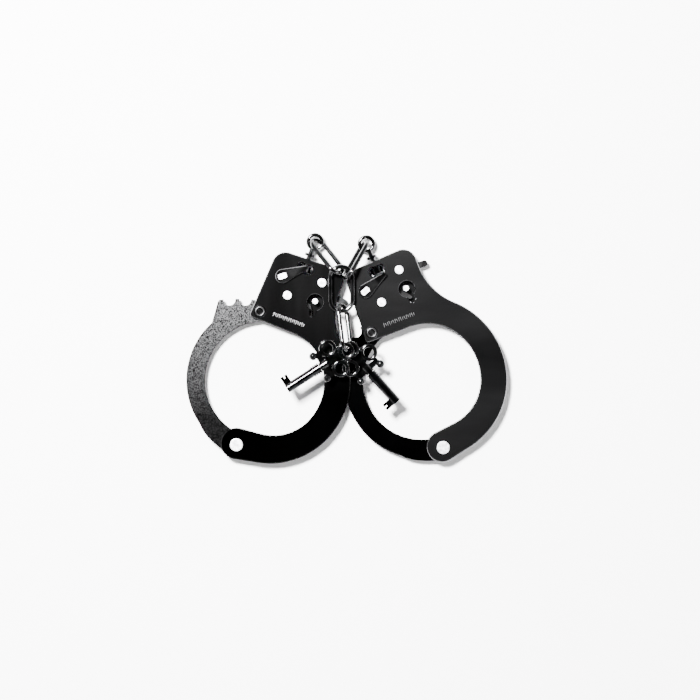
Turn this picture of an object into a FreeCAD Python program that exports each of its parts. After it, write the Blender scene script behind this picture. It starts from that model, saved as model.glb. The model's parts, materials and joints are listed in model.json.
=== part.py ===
import FreeCAD, Part
import math
import os

# Pair of chain-linked handcuffs with two keys, millimetres, lying flat, +Z up.
# Each cuff is drawn in its own frame: bow pivot at the origin, +Y to the swivel,
# +X to the fixed bow, Z from the back of the rear cheek. The pieces are then laid out.

V = FreeCAD.Vector
os.makedirs("parts", exist_ok=True)

# ---- layout -------------------------------------------------------------
CUFF_LEAN = 20.9
PIVOTS = {"left": (-49.36, 0.68), "right": (49.36, -0.68)}
LEANS = {"left": -CUFF_LEAN, "right": CUFF_LEAN}
ARM_REST = {"left": 0.0, "right": -1.2}
PAWL_REST = {"left": 8.5, "right": 16.5}
LEVER_REST = {"left": 40.5, "right": 20.3}

# ---- layers of the lock case -------------------------------------------
CHEEK_THICK = 1.5
CHEEK_GAP = 3.4
FRONT_Z = CHEEK_THICK + CHEEK_GAP
TOP_Z = FRONT_Z + CHEEK_THICK
ARM_Z = (1.8, 4.6)
PAWL_Z = (1.8, 3.9)
SPRING_Z = 4.4
SWIVEL_Z = 3.2
BEVEL = 0.35

# ---- cheek outline: circles (x, y, radius, +1 outside / -1 inside) -------
BOW_C = (2.5, 33.5)
BOW_OUT = 40.2
BOW_IN = 27.6
NECK_R = 30.0
NECK_X = 20.1 + NECK_R
NECK_Y = BOW_C[1] + math.sqrt((BOW_OUT + NECK_R) ** 2 - (NECK_X - BOW_C[0]) ** 2)

# ---- toothed arm ----------------------------------------------------------
ARM_C = (1.2, 33.4)
ARM_IN = 28.1
ARM_OUT = 37.1
TOOTH_TIP = 69.7
TOOTH_ROOT = 66.6
CREST_HALF = 0.75
TOOTH_PITCH = 6.3
TOOTH_FIRST = 116.9
TEETH = 7
PIVOT_DISC = 6.6

# ---- pins -----------------------------------------------------------------
PIVOT_HEAD = 3.1
PIVOT_SHOULDER = 3.0
PIVOT_SHANK = 2.2
PAWL_PIN = (-2.7, 75.3)
STOP_PIN = (10.6, 86.8)
POST = (10.6, 77.4)
POST_R = 1.3
RIVET_HEAD = 2.1
PAWL_SHOULDER = 1.6
PAWL_SHANK = 1.2
STOP_SHOULDER = 1.4
STOP_SHANK = 1.1
LOWER_SHAFT_R = 1.2
PIN_FIT = 0.05
HEAD_RISE = 0.35
LEVER_PIN = (-8.1, 83.0)
SHAFT_R = 1.5
STUB_SIZE = (4.2, 2.5)
LEVER_LONG = 12.0
LEVER_THICK = 1.2
LEVER_RISE = 1.4
SPRING_BOSS = (-11.5, 76.0)
KEYHOLE = (10.8, 77.0, 3.9)
KEYHOLE_TAIL = (11.5, 71.4, 1.4)
DIMPLE = (-12.3, 63.5)

# ---- swivel ---------------------------------------------------------------
SWIVEL_X = 0.5
EYE_Y = 104.0
EYE_R = 3.4
EYE_WIRE = 0.9
SWIVEL_NECK = 1.3
SWIVEL_HEAD = 2.8
WINDOW = (7.6, 4.4, 90.3)

# ---- chain ----------------------------------------------------------------
WIRE_R = 1.1
SLIT = 0.15
# link: centre, azimuth, pitch, roll (degrees), centre-line width and length
LINKS = {
    "link_left": ((-6.016, 90.612, 6.19), -52.25, 17.82, -52.77, 7.7, 20.8),
    "link_centre": ((0.755, 75.051, 8.828), 90.0, 0.0, 0.0, 10.6, 21.2),
    "link_right": ((7.712, 88.985, 7.036), -118.95, 20.28, 74.31, 7.7, 20.8),
    "link_keys": ((2.304, 56.268, 10.421), -82.68, 9.17, -61.13, 7.9, 21.8),
}

# ---- keys -----------------------------------------------------------------
KEYS = {"left_key": (-9.3, 37.65, 12.56, 32.8), "right_key": (14.69, 35.17, 10.49, 131.6)}
KEY_RINGS = ((7.8, 5.7), (7.8, -5.7), (14.5, 0.0))
RING_R = 3.25
RING_WIRE = 0.9
BOW_BAR = 0.75
BALL_Y = 6.2
BALL_R = 1.9
BARREL_R = 2.2
BARREL_BORE = 1.4
BARREL_END = -18.7
COLLAR_R = 2.6
COLLAR_START = -4.2
RIB_STEP = 1.1
RIB_WIDE = 0.7
STEM_R = 1.2
STEM_END = 2.5


def rad(degrees):
    return math.radians(degrees)


def polar(centre, radius, degrees, z=0.0):
    return V(centre[0] + radius * math.cos(rad(degrees)), centre[1] + radius * math.sin(rad(degrees)), z)


def disc(x, y, radius, z0, z1):
    return Part.makeCylinder(radius, z1 - z0, V(x, y, z0))


def slab(edges, z0, z1):
    """Solid between two heights from a closed loop of edges drawn at z = 0."""
    face = Part.Face(Part.Wire(Part.__sortEdges__(edges)))
    face.translate(V(0, 0, z0))
    return face.extrude(V(0, 0, z1 - z0))


def plate(points, z0, z1):
    corners = [V(x, y, 0) for x, y in points]
    return slab([Part.makeLine(p, q) for p, q in zip(corners, corners[1:] + corners[:1])], z0, z1)


def arc(centre, radius, start, end):
    """Arc from one angle to the other; a smaller end angle runs clockwise."""
    middle = (start + end) / 2
    points = [polar(centre, radius, angle) for angle in (start, middle, end)]
    return Part.Arc(*points).toShape()


def belt(circles):
    """Loop of tangent lines and arcs around a row of circles."""
    count = len(circles)
    starts = [None] * count
    ends = [None] * count
    for i in range(count):
        x1, y1, r1, s1 = circles[i]
        x2, y2, r2, s2 = circles[(i + 1) % count]
        gap = math.hypot(x2 - x1, y2 - y1)
        lean = math.asin(max(-1.0, min(1.0, (s1 * r1 - s2 * r2) / gap)))
        heading = math.atan2(y2 - y1, x2 - x1) + lean
        side = (math.sin(heading), -math.cos(heading))
        ends[i] = V(x1 + s1 * r1 * side[0], y1 + s1 * r1 * side[1], 0)
        starts[(i + 1) % count] = V(x2 + s2 * r2 * side[0], y2 + s2 * r2 * side[1], 0)
    edges = []
    for i in range(count):
        x, y, r, s = circles[i]
        first = math.degrees(math.atan2(starts[i].y - y, starts[i].x - x))
        last = math.degrees(math.atan2(ends[i].y - y, ends[i].x - x))
        sweep = s * ((s * (last - first)) % 360)
        middle = polar((x, y), r, first + sweep / 2)
        edges.append(Part.Arc(starts[i], middle, ends[i]).toShape())
        following = starts[(i + 1) % count]
        if ends[i].distanceToPoint(following) > 0.001:
            edges.append(Part.makeLine(ends[i], following))
    return edges


def bar(p, q, radius, z0, z1):
    """Flat bar with round ends between two plan points."""
    return slab(belt([(p[0], p[1], radius, 1), (q[0], q[1], radius, 1)]), z0, z1)


def band(centre, radius, half, start, end, z0, z1):
    """Curved flat bar with round ends along an arc."""
    outer = arc(centre, radius + half, start, end)
    inner = arc(centre, radius - half, end, start)
    tip = Part.Arc(polar(centre, radius + half, end), V(*round_end(centre, radius, half, end, 1)),
                   polar(centre, radius - half, end)).toShape()
    heel = Part.Arc(polar(centre, radius - half, start), V(*round_end(centre, radius, half, start, -1)),
                    polar(centre, radius + half, start)).toShape()
    return slab([outer, tip, inner, heel], z0, z1)


def round_end(centre, radius, half, degrees, way):
    middle = polar(centre, radius, degrees)
    reach = way * half
    return (middle.x - reach * math.sin(rad(degrees)), middle.y + reach * math.cos(rad(degrees)), 0)


def fuse(first, *others):
    return first.fuse(list(others)).removeSplitter()


def bevel_rim(solid, z):
    """Bevel every outline edge that lies at one height."""
    rim = [e for e in solid.Edges if abs(e.BoundBox.ZMin - z) < 0.001 and abs(e.BoundBox.ZMax - z) < 0.001]
    return solid.makeChamfer(BEVEL, rim)


def bevel_cutter(centre, radius, side, start, end, z):
    """Ring wedge that bevels a round edge; side +1 for an outer edge, -1 for an inner one."""
    over = 0.2
    reach = BEVEL + over
    corners = [V(radius + side * over, 0, z + over), V(radius - side * reach, 0, z + over),
               V(radius + side * over, 0, z - reach)]
    loop = [Part.makeLine(p, q) for p, q in zip(corners, corners[1:] + corners[:1])]
    wedge = Part.Face(Part.Wire(loop))
    wedge.rotate(V(0, 0, 0), V(0, 0, 1), start)
    ring = wedge.revolve(V(0, 0, 0), V(0, 0, 1), end - start)
    ring.translate(V(centre[0], centre[1], 0))
    return ring


def cheek_outline():
    def near_bow(step, degrees, radius, side):
        centre = polar(BOW_C, step, degrees)
        return (centre.x, centre.y, radius, side)

    return belt([
        (-0.3, 0.5, 7.4, 1),
        near_bow(2.2, -20.0, BOW_OUT - 2.2, 1),
        (BOW_C[0], BOW_C[1], BOW_OUT, 1),
        (NECK_X, NECK_Y, NECK_R, -1),
        (13.6, 89.2, 6.5, 1),
        (-8.6, 88.2, 6.5, 1),
        (-14.9, 61.0, 1.4, 1),
        near_bow(3.6, 35.0, BOW_IN - 3.6, -1),
        (BOW_C[0], BOW_C[1], BOW_IN, -1),
        near_bow(4.4, -19.65, BOW_IN - 4.4, -1),
    ])


def case_wall():
    """Rim between the cheeks around the lock chamber, open where the arm and the pawl tab pass."""
    inside = belt([(13.6, 89.2, 5.2, 1), (-8.6, 88.2, 5.2, 1), (-8.3, 60.0, 5.4, 1), (13.6, 60.0, 5.2, 1)])
    rim = slab(cheek_outline(), CHEEK_THICK, FRONT_Z).cut(slab(inside, CHEEK_THICK, FRONT_Z))
    rim = rim.cut(disc(0, 0, TOOTH_TIP + 1.0, CHEEK_THICK, FRONT_Z))
    rim = rim.cut(plate([(4.0, 40.0), (60.0, 40.0), (60.0, 87.8), (4.0, 87.8)], CHEEK_THICK, FRONT_Z))
    block = plate([(-3.4, 92.4), (4.2, 92.4), (4.2, 95.0), (-3.4, 94.7)], CHEEK_THICK, FRONT_Z)
    bore = Part.makeCylinder(SWIVEL_NECK + PIN_FIT, 12.0, V(SWIVEL_X, 90.0, SWIVEL_Z), V(0, 1, 0))
    return fuse(rim, block).cut(bore)


def swivel_window(z0, z1):
    wide, tall, y = WINDOW
    r = 1.6
    dx = wide / 2 - r
    dy = tall / 2 - r
    corners = [(SWIVEL_X + sx * dx, y + sy * dy, r, 1) for sx, sy in ((1, -1), (1, 1), (-1, 1), (-1, -1))]
    return slab(belt(corners), z0, z1)


def rivet_holes():
    pawl_hole = (PAWL_PIN[0], PAWL_PIN[1], PAWL_SHANK)
    stop_hole = (STOP_PIN[0], STOP_PIN[1], STOP_SHANK)
    return [(0, 0, PIVOT_SHANK), pawl_hole, stop_hole]


def rear_cheek():
    solid = fuse(slab(cheek_outline(), 0, CHEEK_THICK), case_wall())
    solid = fuse(solid, disc(SPRING_BOSS[0], SPRING_BOSS[1], 0.9, CHEEK_THICK, FRONT_Z - 0.1))
    post_hole = (POST[0], POST[1], POST_R)
    shaft_hole = (LEVER_PIN[0], LEVER_PIN[1], LOWER_SHAFT_R + PIN_FIT)
    for x, y, r in rivet_holes() + [post_hole, shaft_hole]:
        solid = solid.cut(disc(x, y, r, -1, CHEEK_THICK + 1))
    return solid.cut(swivel_window(-1, CHEEK_THICK))


def front_cheek():
    solid = slab(cheek_outline(), FRONT_Z, TOP_Z)
    keyhole = fuse(disc(KEYHOLE[0], KEYHOLE[1], KEYHOLE[2], FRONT_Z - 1, TOP_Z + 1),
                   bar(KEYHOLE[:2], KEYHOLE_TAIL[:2], KEYHOLE_TAIL[2], FRONT_Z - 1, TOP_Z + 1))
    groove = disc(DIMPLE[0], DIMPLE[1], 2.6, TOP_Z - 0.6, TOP_Z + 1)
    groove = groove.cut(disc(DIMPLE[0], DIMPLE[1], 1.3, TOP_Z - 1, TOP_Z + 2))
    solid = solid.cut(keyhole).cut(swivel_window(FRONT_Z - 1, TOP_Z + 1)).cut(groove)
    solid = bevel_rim(solid, TOP_Z)
    holes = rivet_holes() + [(LEVER_PIN[0], LEVER_PIN[1], SHAFT_R + PIN_FIT)]
    for x, y, r in holes:
        solid = solid.cut(disc(x, y, r, FRONT_Z - 1, TOP_Z + 1))
    return solid


def rivet(x, y, shank, shoulder, head):
    """Shouldered pin: flush at the back, a low domed head on the front."""
    body = fuse(disc(x, y, shank, 0, TOP_Z), disc(x, y, shoulder, CHEEK_THICK, FRONT_Z))
    crown = disc(x, y, head, TOP_Z, TOP_Z + HEAD_RISE)
    rim = [e for e in crown.Edges if abs(e.BoundBox.ZMin - TOP_Z - HEAD_RISE) < 0.001 and e.Length > 1]
    return fuse(body, crown.makeFillet(HEAD_RISE * 0.8, rim))


def tooth_row(first_point):
    """Edges of the ratchet teeth from the heel to the nose: narrow crests with round valleys between."""
    edges = []
    here = first_point
    for k in range(TEETH):
        middle = TOOTH_FIRST - k * TOOTH_PITCH
        crest_start = polar((0, 0), TOOTH_TIP, middle + CREST_HALF)
        crest_end = polar((0, 0), TOOTH_TIP, middle - CREST_HALF)
        if k:
            valley = polar((0, 0), TOOTH_ROOT, middle + TOOTH_PITCH / 2)
            edges.append(Part.Arc(here, valley, crest_start).toShape())
        else:
            edges.append(Part.makeLine(here, crest_start))
        edges.append(Part.makeLine(crest_start, crest_end))
        here = crest_end
    last = polar((0, 0), TOOTH_ROOT, TOOTH_FIRST - (TEETH - 1) * TOOTH_PITCH - 2.7)
    edges.append(Part.makeLine(here, last))
    return edges, last


def ratchet_arm():
    heel_angle = 235.5
    shoulder_angle = 152.9
    nose_angle = 62.0
    toe_angle = 262.0
    heel = polar(ARM_C, ARM_OUT, heel_angle)
    patch = Part.BSplineCurve()
    patch.interpolate([V(-2.2, -6.2, 0), V(-10.0, -3.2, 0), V(-15.0, -1.0, 0), heel])
    edges = [patch.toShape(), arc(ARM_C, ARM_OUT, heel_angle, shoulder_angle)]
    shoulder = V(-32.7, 60.5, 0)
    edges.append(Part.makeLine(polar(ARM_C, ARM_OUT, shoulder_angle), shoulder))
    teeth, last = tooth_row(shoulder)
    edges.extend(teeth)
    nose = polar(ARM_C, ARM_IN, nose_angle)
    edges.append(Part.Arc(last, V(16.1, 61.2, 0), nose).toShape())
    edges.append(arc(ARM_C, ARM_IN, nose_angle, toe_angle))
    edges.append(Part.makeLine(polar(ARM_C, ARM_IN, toe_angle), V(-2.2, -6.2, 0)))
    solid = fuse(slab(edges, *ARM_Z), disc(0, 0, PIVOT_DISC, *ARM_Z))
    solid = solid.cut(bevel_cutter(ARM_C, ARM_OUT, 1, shoulder_angle + 1, heel_angle - 2, ARM_Z[1]))
    solid = solid.cut(bevel_cutter(ARM_C, ARM_IN, -1, nose_angle + 1, toe_angle - 12, ARM_Z[1]))
    return solid.cut(disc(0, 0, PIVOT_SHOULDER + PIN_FIT, 0, TOP_Z))


def pawl():
    """Spring pawl drawn in mesh with the arm teeth."""
    z0, z1 = PAWL_Z
    body = fuse(
        disc(PAWL_PIN[0], PAWL_PIN[1], 3.2, z0, z1),
        bar(PAWL_PIN, (7.2, 72.0), 1.9, z0, z1),
        plate([(6.0, 71.5), (6.6, 70.2), (9.4, 68.3), (10.6, 68.4), (9.9, 71.2), (9.0, 73.0)], z0, z1),
        bar(PAWL_PIN, (9.1, 84.5), 1.9, z0, z1),
        band(PAWL_PIN, 17.6, 2.8, 20.0, 41.8, z0, z1),
        bar((13.8, 81.3), (PAWL_PIN[0] + 27.6, PAWL_PIN[1] + 2.4), 1.5, z0, z1),
    )
    slot = band(PAWL_PIN, 17.6, STOP_SHOULDER + 0.15, 23.5, 41.8, z0 - 1, z1 + 1)
    return body.cut(slot).cut(disc(PAWL_PIN[0], PAWL_PIN[1], PAWL_SHOULDER + PIN_FIT, 0, TOP_Z))


def wire_run(points, radius):
    """Round wire along straight runs, with ball joints at the bends."""
    pieces = []
    for p, q in zip(points, points[1:]):
        pieces.append(Part.makeCylinder(radius, p.distanceToPoint(q), p, q.sub(p)))
    for p in points[1:-1]:
        pieces.append(Part.makeSphere(radius, p))
    return fuse(pieces[0], *pieces[1:])


def pawl_spring():
    x, y = SPRING_BOSS
    coil = Part.makeTorus(1.3, 0.3, V(x, y, SPRING_Z))
    leg = wire_run([V(x, y + 1.3, SPRING_Z), V(-3.0, 80.4, SPRING_Z), V(4.0, 82.6, SPRING_Z)], 0.3)
    stay = wire_run([V(x, y - 1.3, SPRING_Z), V(x + 3.5, y - 2.6, SPRING_Z)], 0.3)
    return fuse(coil, leg, stay)


def lever_shaft():
    x, y = LEVER_PIN
    foot_top = CHEEK_THICK + 0.1
    body = fuse(disc(x, y, LOWER_SHAFT_R, 0.1, foot_top), disc(x, y, SHAFT_R, foot_top, TOP_Z + 0.1))
    return fuse(body, double_d(TOP_Z + 0.1, TOP_Z + 1.6))


def double_d(z0, z1):
    """Round stub with two flats, along +X at the lever pin."""
    x, y = LEVER_PIN
    length, width = STUB_SIZE
    stub = disc(x, y, length / 2, z0, z1)
    flats = plate([(x - length, y - width / 2), (x + length, y - width / 2),
                   (x + length, y + width / 2), (x - length, y + width / 2)], z0, z1)
    return stub.common(flats)


def lock_lever():
    """Teardrop lever on the front face, its thin end bent up."""
    x, y = LEVER_PIN
    outline = slab(belt([(x, y, 3.4, 1), (x + LEVER_LONG, y, 1.0, 1)]), TOP_Z, TOP_Z + 4.0)
    low = TOP_Z + 0.1
    heel, bend, tip = x - 5, x + 7, x + LEVER_LONG + 2
    side = [(heel, low), (bend, low), (tip, low + LEVER_RISE),
            (tip, low + LEVER_RISE + LEVER_THICK), (bend, low + LEVER_THICK), (heel, low + LEVER_THICK)]
    corners = [V(px, y - 6, pz) for px, pz in side]
    loop = [Part.makeLine(p, q) for p, q in zip(corners, corners[1:] + corners[:1])]
    bent = Part.Face(Part.Wire(loop)).extrude(V(0, 12, 0))
    lever = outline.common(bent)
    rim = []
    for edge in lever.Edges:
        on_top = edge.BoundBox.ZMin > low + LEVER_THICK - 0.01
        across = edge.BoundBox.XLength < 0.001
        if on_top and not across:
            rim.append(edge)
    return lever.makeChamfer(0.3, rim).cut(double_d(TOP_Z, TOP_Z + 4))


def lock_cam():
    x, y = LEVER_PIN
    oval = fuse(disc(x, y, 2.7, 1.8, 3.8), bar((x, y), (x - 2.6, y + 1.0), 1.6, 1.8, 3.8))
    return oval.cut(disc(x, y, SHAFT_R, 0, TOP_Z))


def swivel():
    axis = V(0, 1, 0)
    def turned(radius, y0, y1):
        return Part.makeCylinder(radius, y1 - y0, V(SWIVEL_X, y0, SWIVEL_Z), axis)

    stem = fuse(turned(SWIVEL_HEAD, 89.0, 91.6), turned(SWIVEL_NECK, 91.6, EYE_Y - EYE_R),
                turned(2.6, 96.4, 97.7))
    return fuse(stem, Part.makeTorus(EYE_R, EYE_WIRE, V(SWIVEL_X, EYE_Y, SWIVEL_Z)))


def oval_link(width, length):
    """Wire link in its own plane: long axis X, width Y, with a thin butt joint in one side."""
    bend = width / 2
    half = length / 2 - bend
    sides = [Part.makeCylinder(WIRE_R, 2 * half, V(-half, s * bend, 0), V(1, 0, 0)) for s in (1, -1)]
    bends = []
    for s in (1, -1):
        ring = Part.makeTorus(bend, WIRE_R)
        keep = Part.makeBox(bend + 2, 2 * bend + 6, 4, V(0 if s > 0 else -bend - 2, -bend - 3, -2))
        piece = ring.common(keep)
        piece.translate(V(s * half, 0, 0))
        bends.append(piece)
    link = fuse(sides[0], sides[1], bends[0], bends[1])
    return link.cut(Part.makeBox(SLIT, 4, 4, V(-SLIT / 2, bend - 2, -2)))


def link_placement(name):
    centre, azimuth, pitch, roll, _, _ = LINKS[name]
    turn = FreeCAD.Rotation(V(0, 0, 1), azimuth)
    turn = turn.multiply(FreeCAD.Rotation(V(0, 1, 0), -pitch))
    turn = turn.multiply(FreeCAD.Rotation(V(1, 0, 0), roll))
    return FreeCAD.Placement(V(*centre), turn)


def key_bow():
    """Three-ring key bow with a ball at each end of its base bar."""
    solids = [Part.makeTorus(RING_R, RING_WIRE, V(x, y, 0)) for x, y in KEY_RINGS]
    solids.append(bar((7.8, 2.0), (7.8, -2.0), 1.1, -0.6, 0.6))
    solids.append(bar((2.2, -5.4), (2.2, 5.4), 1.35, -BOW_BAR, BOW_BAR))
    solids.append(bar((2.6, 0.0), (10.4, 0.0), 1.3, -0.7, 0.7))
    solids.append(Part.makeCylinder(2.1, 4.0, V(0, 0, 0), V(1, 0, 0)))
    for side in (1, -1):
        solids.append(bar((1.2, side * 5.9), (4.2, side * 5.7), 1.0, -BOW_BAR, BOW_BAR))
        solids.append(Part.makeSphere(BALL_R, V(0, side * BALL_Y, 0), V(0, 1, 0)))
        solids.append(Part.makeSphere(1.0, V(11.6, side * 3.3, 0), V(0, 1, 0)))
    bow = fuse(solids[0], *solids[1:])
    return bow.cut(Part.makeCylinder(STEM_R, STEM_END + 1.0, V(-1.0, 0, 0), V(1, 0, 0)))


def key_barrel():
    """Hollow barrel with a ribbed collar, a stem into the bow and a flat bit."""
    def turned(radius, x0, x1):
        return Part.makeCylinder(radius, x1 - x0, V(x0, 0, 0), V(1, 0, 0))

    pieces = [turned(BARREL_R, BARREL_END, -0.9), turned(STEM_R, COLLAR_START, STEM_END)]
    for k in range(4):
        start = COLLAR_START + k * RIB_STEP
        pieces.append(turned(COLLAR_R, start, start + RIB_WIDE))
    barrel = fuse(pieces[0], *pieces[1:])
    bit = plate([(-18.6, 1.0), (-15.2, 1.0), (-15.2, 6.0), (-18.6, 6.0)], -1.0, 1.0)
    notch = plate([(-17.2, 4.6), (-16.5, 4.6), (-16.5, 6.5), (-17.2, 6.5)], -2.0, 2.0)
    return fuse(barrel, bit.cut(notch)).cut(turned(BARREL_BORE, BARREL_END - 0.3, -8.0))


def turned_about(shape, point, degrees):
    copy = shape.copy()
    copy.rotate(V(point[0], point[1], 0), V(0, 0, 1), degrees)
    return copy


def to_world(side, shape):
    copy = shape.copy()
    copy.rotate(V(0, 0, 0), V(0, 0, 1), LEANS[side])
    copy.translate(V(PIVOTS[side][0], PIVOTS[side][1], 0))
    return copy


def world_point(side, x, y, z=0.0):
    a = rad(LEANS[side])
    px, py = PIVOTS[side]
    return V(px + x * math.cos(a) - y * math.sin(a), py + x * math.sin(a) + y * math.cos(a), z)


def make_cuff(side):
    shapes = {
        "rear_cheek": rear_cheek(),
        "front_cheek": front_cheek(),
        "pivot_rivet": rivet(0, 0, PIVOT_SHANK, PIVOT_SHOULDER, PIVOT_HEAD),
        "pawl_rivet": rivet(PAWL_PIN[0], PAWL_PIN[1], PAWL_SHANK, PAWL_SHOULDER, RIVET_HEAD),
        "stop_rivet": rivet(STOP_PIN[0], STOP_PIN[1], STOP_SHANK, STOP_SHOULDER, RIVET_HEAD),
        "key_post": disc(POST[0], POST[1], POST_R, 0, TOP_Z - 0.2),
        "ratchet_arm": turned_about(ratchet_arm(), (0, 0), ARM_REST[side]),
        "pawl": turned_about(pawl(), PAWL_PIN, PAWL_REST[side]),
        "pawl_spring": pawl_spring(),
        "lock_lever": turned_about(lock_lever(), LEVER_PIN, LEVER_REST[side]),
        "lever_shaft": turned_about(lever_shaft(), LEVER_PIN, LEVER_REST[side]),
        "lock_cam": turned_about(lock_cam(), LEVER_PIN, LEVER_REST[side]),
        "swivel": swivel(),
    }
    return {side + "_" + name: to_world(side, shape) for name, shape in shapes.items()}


def make_links():
    shapes = {}
    for name, (_, _, _, _, width, length) in LINKS.items():
        link = oval_link(width, length)
        link.Placement = link_placement(name)
        shapes[name] = link
    return shapes


def make_keys():
    shapes = {}
    for name, (x, y, z, turn) in KEYS.items():
        for piece, shape in (("_bow", key_bow()), ("_barrel", key_barrel())):
            shape.rotate(V(0, 0, 0), V(0, 0, 1), turn)
            shape.translate(V(x, y, z))
            shapes[name + piece] = shape
    return shapes


def make_all():
    """Every piece, moved so that the frame origin is the centre of the footprint."""
    shapes = {}
    shapes.update(make_cuff("left"))
    shapes.update(make_cuff("right"))
    shapes.update(make_links())
    shapes.update(make_keys())
    box = FreeCAD.BoundBox()
    for shape in shapes.values():
        box.add(shape.optimalBoundingBox(False))
    shift = V(-(box.XMin + box.XMax) / 2, -(box.YMin + box.YMax) / 2, -box.ZMin)
    for shape in shapes.values():
        shape.translate(shift)
    return shapes, shift


if __name__ == "__main__":
    PIECES, SHIFT = make_all()
    for node, piece in PIECES.items():
        piece.exportStep("parts/" + node + ".step")
        print(node, round(piece.Volume, 1), piece.isValid(), len(piece.Solids))
    print("shift", SHIFT)
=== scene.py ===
import json
import math

import bpy
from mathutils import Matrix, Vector


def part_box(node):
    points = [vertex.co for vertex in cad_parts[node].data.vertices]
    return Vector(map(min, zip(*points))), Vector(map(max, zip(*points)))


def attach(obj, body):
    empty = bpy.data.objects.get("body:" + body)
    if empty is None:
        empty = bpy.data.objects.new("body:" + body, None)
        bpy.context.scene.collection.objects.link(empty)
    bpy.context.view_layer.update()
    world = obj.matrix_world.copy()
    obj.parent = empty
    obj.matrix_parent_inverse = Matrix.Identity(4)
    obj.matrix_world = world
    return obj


# Looks for the pair of handcuffs: metals on the CAD pieces, a row of plain ticks and a
# bright ring on each front cheek, and a white table under soft light.

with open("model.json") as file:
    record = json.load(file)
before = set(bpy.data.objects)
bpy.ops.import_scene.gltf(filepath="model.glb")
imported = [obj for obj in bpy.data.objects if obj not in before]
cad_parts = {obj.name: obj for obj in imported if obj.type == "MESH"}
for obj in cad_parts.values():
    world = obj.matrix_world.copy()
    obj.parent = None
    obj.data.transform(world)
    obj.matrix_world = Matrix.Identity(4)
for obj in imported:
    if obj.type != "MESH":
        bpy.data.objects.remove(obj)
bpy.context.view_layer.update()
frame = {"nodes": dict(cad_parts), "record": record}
NODES = frame["nodes"]
MM = 0.001

# ---- view: width seen at the table, the camera's offset and its height (metres)
VIEW_WIDTH = 0.336
VIEW_OFFSET = (0.0016, -0.0009)
CAMERA_HEIGHT = 1.1
SENSOR_WIDTH = 36.0

# ---- cuffs: lean of each in degrees, and places on a cuff in its own frame (mm, pivot at the origin)
LEAN = {"left": -20.9, "right": 20.9}
TICK_START = (-5.5, 64.6)
TICK_COUNT = 17
TICK_STEP = 0.95
TICK_LENGTH = 2.0
TICK_SHARES = (1.0, 0.7, 0.85)
TICK_WIDTH = 0.36
TICK_HEIGHT = 0.08
TICK_TILT = 8.0
DIMPLE = (-12.3, 63.5)
DIMPLE_RADIUS = 1.95
DIMPLE_WIRE = 0.32
DIMPLE_DEPTH = 0.30

# ---- metals: base tone and roughness each go from the first value to the second with the clouds
# scale, stretch and turn shape the clouds, and bump with grain gives the fine surface
METALS = {
    "left_case": dict(tone=(0.06, 0.15), rough=(0.10, 0.16), scale=22.0, stretch=(1.0, 0.18, 1.0), turn=28.0,
                      bump=0.1, grain=900.0),
    "right_case": dict(tone=(0.10, 0.14), rough=(0.12, 0.16), scale=24.0, stretch=(0.3, 1.0, 1.0), turn=35.0,
                       bump=0.1, grain=1500.0),
    "left_arm": dict(tone=(0.001, 0.052), rough=(0.34, 0.44), scale=2000.0, bump=0.6, grain=1800.0,
                     spread=(0.42, 0.60)),
    "right_arm": dict(tone=(0.002, 0.006), rough=(0.12, 0.18), scale=60.0, stretch=(1.0, 0.6, 1.0), bump=0.2,
                      grain=2500.0),
    "silver_pin": dict(tone=(0.45, 0.95), rough=(0.40, 0.50), scale=700.0),
    "lever_plate": dict(tone=(0.03, 0.08), rough=(0.10, 0.16), scale=120.0),
    "lock_steel": dict(tone=(0.01, 0.03), rough=(0.25, 0.35), scale=200.0),
    "spring_steel": dict(tone=(0.45, 0.60), rough=(0.25, 0.35), scale=300.0),
    "chain_wire": dict(tone=(0.035, 0.085), rough=(0.07, 0.11), scale=150.0),
    "key_metal": dict(tone=(0.012, 0.05), rough=(0.09, 0.14), scale=250.0),
    "struck_edge": dict(tone=(0.035, 0.09), rough=(0.28, 0.36), scale=700.0),
}
# painted sheen and shade: a metal named here is darkened along Y, lighter towards +Y and darker towards -Y
# as the light falls on it; (first Y, last Y) in metres, and its tone's share at each
PAINTED_SHEEN_GRADES = {
    "left_case": ((-0.022, 0.020), (0.04, 1.0)),
    "left_arm": ((-0.034, 0.028), (0.10, 1.0)),
}
CLOUD_DETAIL = 4.0
CLOUD_ROUGHNESS = 0.55
GRAIN_DETAIL = 2.0
GRAIN_DEPTH = 0.0001
GLOSS_SPREAD = (0.3, 0.7)

# ---- lights: place (metres), size (metres) and power (watts), and the studio walls by height
LIGHTS = {
    "key_box": ((-0.35, 0.42, 1.0), (0.22, 0.22), 150.0),
    "fill_box": ((0.7, -0.45, 0.6), (0.8, 0.5), 6.0),
}
WALLS = ((0.0, 1.0), (0.40, 0.9), (0.72, 0.05), (1.0, 0.02))
WALL_STRENGTH = 1.3
FLOOR_SIZE = 3.0
FLOOR_Z = -0.0002
FLOOR_TONE = 0.98
FLOOR_ROUGHNESS = 0.9


# ---------------------------------------------------------------- materials
def new_material(name):
    material = bpy.data.materials.new(name)
    material.use_nodes = True
    tree = material.node_tree
    return material, tree, tree.nodes["Principled BSDF"]


def ramp(tree, source, stops):
    """Colour ramp of slightly cool greys, from pairs of place and value."""
    node = tree.nodes.new("ShaderNodeValToRGB")
    while len(node.color_ramp.elements) < len(stops):
        node.color_ramp.elements.new(0.5)
    for element, (place, value) in zip(node.color_ramp.elements, stops):
        element.position = place
        element.color = (value, value, value * 1.02, 1.0)
    tree.links.new(source, node.inputs["Fac"])
    return node


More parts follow.
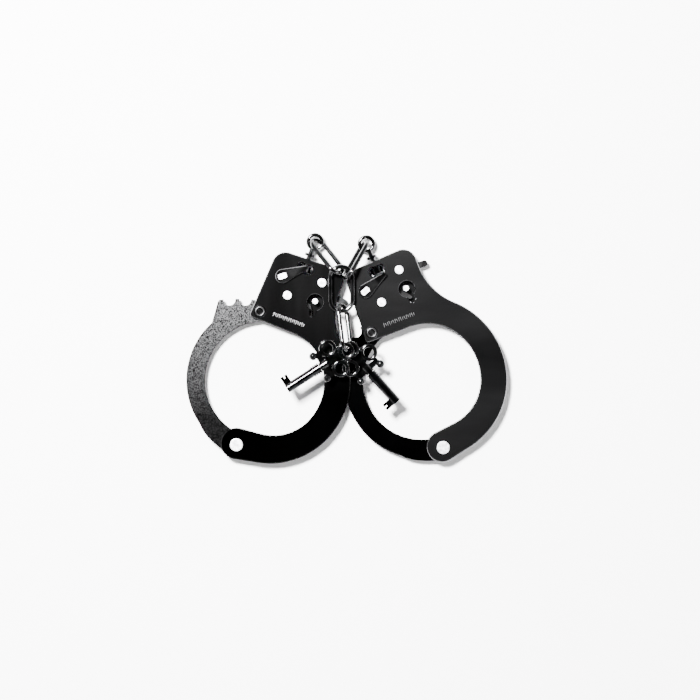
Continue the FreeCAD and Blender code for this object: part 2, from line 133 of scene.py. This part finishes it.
def noise(tree, scale, detail, stretch=(1.0, 1.0, 1.0), turn=0.0):
    coords = tree.nodes.new("ShaderNodeTexCoord")
    mapping = tree.nodes.new("ShaderNodeMapping")
    mapping.inputs["Scale"].default_value = stretch
    mapping.inputs["Rotation"].default_value = (0.0, 0.0, math.radians(turn))
    texture = tree.nodes.new("ShaderNodeTexNoise")
    texture.inputs["Scale"].default_value = scale
    texture.inputs["Detail"].default_value = detail
    texture.inputs["Roughness"].default_value = CLOUD_ROUGHNESS
    tree.links.new(coords.outputs["Object"], mapping.inputs["Vector"])
    tree.links.new(mapping.outputs["Vector"], texture.inputs["Vector"])
    return texture


def metal(name, tone, rough, scale, stretch=(1.0, 1.0, 1.0), turn=0.0, bump=0.0, grain=0.0,
          spread=(0.35, 0.68)):
    """Plated metal: cloudy tone and gloss from one noise, and fine grain as a bump."""
    material, tree, shader = new_material(name)
    clouds = noise(tree, scale, CLOUD_DETAIL, stretch, turn)
    base = ramp(tree, clouds.outputs["Fac"], tuple(zip(spread, tone)))
    tree.links.new(base.outputs["Color"], shader.inputs["Base Color"])
    gloss = ramp(tree, clouds.outputs["Fac"], tuple(zip(GLOSS_SPREAD, rough)))
    tree.links.new(gloss.outputs["Color"], shader.inputs["Roughness"])
    shader.inputs["Metallic"].default_value = 1.0
    if bump:
        fine = noise(tree, grain, GRAIN_DETAIL)
        bumper = tree.nodes.new("ShaderNodeBump")
        bumper.inputs["Strength"].default_value = bump
        bumper.inputs["Distance"].default_value = GRAIN_DEPTH
        tree.links.new(fine.outputs["Fac"], bumper.inputs["Height"])
        tree.links.new(bumper.outputs["Normal"], shader.inputs["Normal"])
    return material


def paint_sheen_and_shade(material, places, shares):
    """Paints sheen and shade into a material's tone: scales it along the object's Y, from one share to
    another between two places.
    """
    tree = material.node_tree
    shader = tree.nodes["Principled BSDF"]
    base = shader.inputs["Base Color"].links[0].from_socket
    coords = tree.nodes.new("ShaderNodeTexCoord")
    split = tree.nodes.new("ShaderNodeSeparateXYZ")
    span = tree.nodes.new("ShaderNodeMapRange")
    span.inputs["From Min"].default_value = places[0]
    span.inputs["From Max"].default_value = places[1]
    span.inputs["To Min"].default_value = shares[0]
    span.inputs["To Max"].default_value = shares[1]
    product = tree.nodes.new("ShaderNodeVectorMath")
    product.operation = "SCALE"
    tree.links.new(coords.outputs["Object"], split.inputs["Vector"])
    tree.links.new(split.outputs["Y"], span.inputs["Value"])
    tree.links.new(base, product.inputs[0])
    tree.links.new(span.outputs["Result"], product.inputs["Scale"])
    tree.links.new(product.outputs["Vector"], shader.inputs["Base Color"])
    return material


MATERIALS = {slot: metal(slot + "_metal", **values) for slot, values in METALS.items()}
# paints sheen and shade into the tone of the metals listed above: lighter towards +Y, darker towards -Y
for sheen_slot, (sheen_places, sheen_shares) in PAINTED_SHEEN_GRADES.items():
    paint_sheen_and_shade(MATERIALS[sheen_slot], sheen_places, sheen_shares)

SLOT_OF = {part["node"]: part["material_slot"] for part in frame["record"]["subparts"]}
for node_name, cad in NODES.items():
    cad.data.materials.clear()
    cad.data.materials.append(MATERIALS[SLOT_OF[node_name]])


# ---------------------------------------------------------------- pieces
def add_piece(name, piece, body):
    """Names an ornament, gives it the struck edge metal and lets it ride on a body."""
    piece.name = name
    piece.data.materials.clear()
    piece.data.materials.append(MATERIALS["struck_edge"])
    for face in piece.data.polygons:
        face.use_smooth = True
    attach(piece, body)


def joined(pieces):
    bpy.ops.object.select_all(action="DESELECT")
    for piece in pieces:
        piece.select_set(True)
    bpy.context.view_layer.objects.active = pieces[0]
    bpy.ops.object.join()
    return bpy.context.view_layer.objects.active


def cuff_point(side, x, y, z):
    """A point of the cuff's own frame, placed from the middle of its pivot rivet's box."""
    low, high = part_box(side + "_pivot_rivet")
    turn = math.radians(LEAN[side])
    dx = (x * math.cos(turn) - y * math.sin(turn)) * MM
    dy = (x * math.sin(turn) + y * math.cos(turn)) * MM
    return ((low.x + high.x) / 2 + dx, (low.y + high.y) / 2 + dy, z)


def cheek_top(side):
    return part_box(side + "_front_cheek")[1].z


def tick_row(side):
    """Row of plain raised ticks of three lengths, where such cuffs carry a stamped word."""
    ticks = []
    for k in range(TICK_COUNT):
        place = cuff_point(side, TICK_START[0] + k * TICK_STEP, TICK_START[1], cheek_top(side))
        lean = LEAN[side] + (TICK_TILT if k % 2 else -TICK_TILT)
        bpy.ops.mesh.primitive_cube_add(size=1.0, location=place, rotation=(0, 0, math.radians(lean)))
        tick = bpy.context.active_object
        length = TICK_LENGTH * TICK_SHARES[k % len(TICK_SHARES)]
        tick.scale = (TICK_WIDTH * MM, length * MM, TICK_HEIGHT * MM)
        ticks.append(tick)
    add_piece(side + "_stamp", joined(ticks), side + "_case")


def dimple_ring(side):
    """Bright rim of the punched ring near the corner of the front cheek."""
    place = cuff_point(side, DIMPLE[0], DIMPLE[1], cheek_top(side) - DIMPLE_DEPTH * MM)
    bpy.ops.mesh.primitive_torus_add(location=place, major_radius=DIMPLE_RADIUS * MM,
                                     minor_radius=DIMPLE_WIRE * MM, major_segments=40, minor_segments=10)
    add_piece(side + "_dimple_ring", bpy.context.active_object, side + "_case")


for cuff in LEAN:
    tick_row(cuff)
    dimple_ring(cuff)


# ---------------------------------------------------------------- stage
def area_light(name, place, size, power):
    """Rectangular light that faces the middle of the table."""
    data = bpy.data.lights.new(name, "AREA")
    data.shape = "RECTANGLE"
    data.size, data.size_y = size
    data.energy = power
    lamp = bpy.data.objects.new(name, data)
    lamp.location = place
    lamp.rotation_euler = (-Vector(place)).to_track_quat("-Z", "Y").to_euler()
    bpy.context.scene.collection.objects.link(lamp)


def make_floor():
    bpy.ops.mesh.primitive_plane_add(size=FLOOR_SIZE, location=(0, 0, FLOOR_Z))
    floor = bpy.context.active_object
    floor.name = "floor"
    material, _, shader = new_material("floor_white")
    shader.inputs["Base Color"].default_value = (FLOOR_TONE, FLOOR_TONE, FLOOR_TONE, 1)
    shader.inputs["Roughness"].default_value = FLOOR_ROUGHNESS
    shader.inputs["Specular IOR Level"].default_value = 0.0
    floor.data.materials.append(material)


def make_studio():
    """Bright walls with a dark ceiling, so that flat tops look dark and edges catch light."""
    world = bpy.data.worlds.new("studio")
    world.use_nodes = True
    tree = world.node_tree
    coords = tree.nodes.new("ShaderNodeTexCoord")
    split = tree.nodes.new("ShaderNodeSeparateXYZ")
    walls = ramp(tree, split.outputs["Z"], WALLS)
    tree.links.new(coords.outputs["Generated"], split.inputs["Vector"])
    tree.links.new(walls.outputs["Color"], tree.nodes["Background"].inputs["Color"])
    tree.nodes["Background"].inputs["Strength"].default_value = WALL_STRENGTH
    bpy.context.scene.world = world


def make_camera():
    data = bpy.data.cameras.new("camera")
    data.sensor_width = SENSOR_WIDTH
    data.lens = SENSOR_WIDTH * CAMERA_HEIGHT / VIEW_WIDTH
    camera = bpy.data.objects.new("camera", data)
    camera.location = (VIEW_OFFSET[0], VIEW_OFFSET[1], CAMERA_HEIGHT)
    bpy.context.scene.collection.objects.link(camera)
    bpy.context.scene.camera = camera


make_floor()
for light_name, (light_place, light_size, light_power) in LIGHTS.items():
    area_light(light_name, light_place, light_size, light_power)
make_studio()
make_camera()
